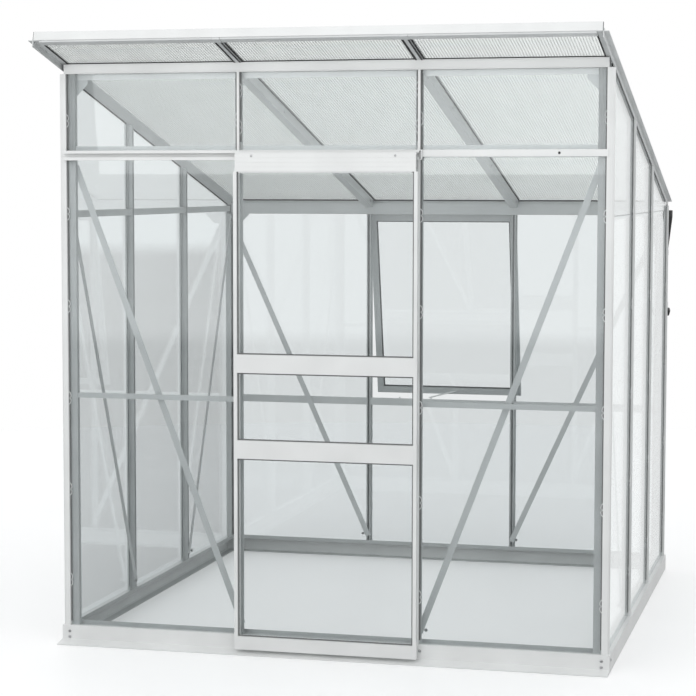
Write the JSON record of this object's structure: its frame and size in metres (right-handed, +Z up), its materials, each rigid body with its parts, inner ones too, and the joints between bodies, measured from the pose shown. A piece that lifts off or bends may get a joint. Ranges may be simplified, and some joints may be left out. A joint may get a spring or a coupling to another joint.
{
  "type": "glass greenhouse",
  "caption": "Free-standing mono-pitch greenhouse: glazed aluminium frame, ribbed roof sheets, sliding door, top-hung back window.",
  "frame": {"origin": "middle of the whole outline, at ground level", "axes": "+X to the right along the front (door) wall, +Y from the front wall to the back wall, +Z up"},
  "size_m": [1.9165, 2.3164, 2.0915],
  "materials": {
    "white_aluminium": "satin",
    "bare_aluminium": "anodised",
    "glass": "clear",
    "roof_sheet": "ribbed, clear",
    "black_plastic": "satin"
  },
  "bodies": {
    "house": {"base_front": "white_aluminium", "base_back": "white_aluminium", "base_left": "white_aluminium", "base_right": "white_aluminium", "door_ramp": "white_aluminium", "corner_post_front_left": "bare_aluminium", "corner_post_front_right": "bare_aluminium", "corner_post_back_left": "bare_aluminium", "corner_post_back_right": "bare_aluminium", "front_wall_posts": "bare_aluminium", "back_wall_posts": "bare_aluminium", "left_wall_posts": "bare_aluminium", "right_wall_posts": "bare_aluminium", "front_eave_beam": "white_aluminium", "front_transom": "bare_aluminium", "door_track": "bare_aluminium", "front_cover_bar": "white_aluminium", "front_wall_bars": "bare_aluminium", "back_eave_beam": "bare_aluminium", "back_wall_bar": "bare_aluminium", "left_wall_bar": "bare_aluminium", "right_wall_bar": "bare_aluminium", "front_braces": "bare_aluminium", "back_braces": "bare_aluminium", "left_braces": "bare_aluminium", "right_braces": "bare_aluminium", "corner_gussets": "bare_aluminium", "left_end_bar": "white_aluminium", "right_end_bar": "white_aluminium", "roof_bars": "bare_aluminium", "rafters": "bare_aluminium", "side_rafters": "bare_aluminium", "roof_fascia": "white_aluminium", "roof_sheet_left": "roof_sheet", "roof_sheet_middle": "roof_sheet", "roof_sheet_right": "roof_sheet", "front_glass": "glass", "clerestory_glass": "glass", "back_glass": "glass", "left_glass": "glass", "right_glass": "glass", "window_frame": "bare_aluminium", "window_glass": "glass", "window_stay": "bare_aluminium", "rainwater_outlet": "black_plastic", "rainwater_pipe": "black_plastic"},
    "door": {"door_stiles": "white_aluminium", "door_header": "white_aluminium", "door_middle_rails": "white_aluminium", "door_bottom_rail": "white_aluminium", "door_glass": "glass", "door_rollers": "black_plastic"}
  },
  "joints": [
    {"name": "door_slide", "type": "slide", "parent": "house", "child": "door", "axis": [-1, 0, 0], "range_m": [0, 0.605]}
  ]
}
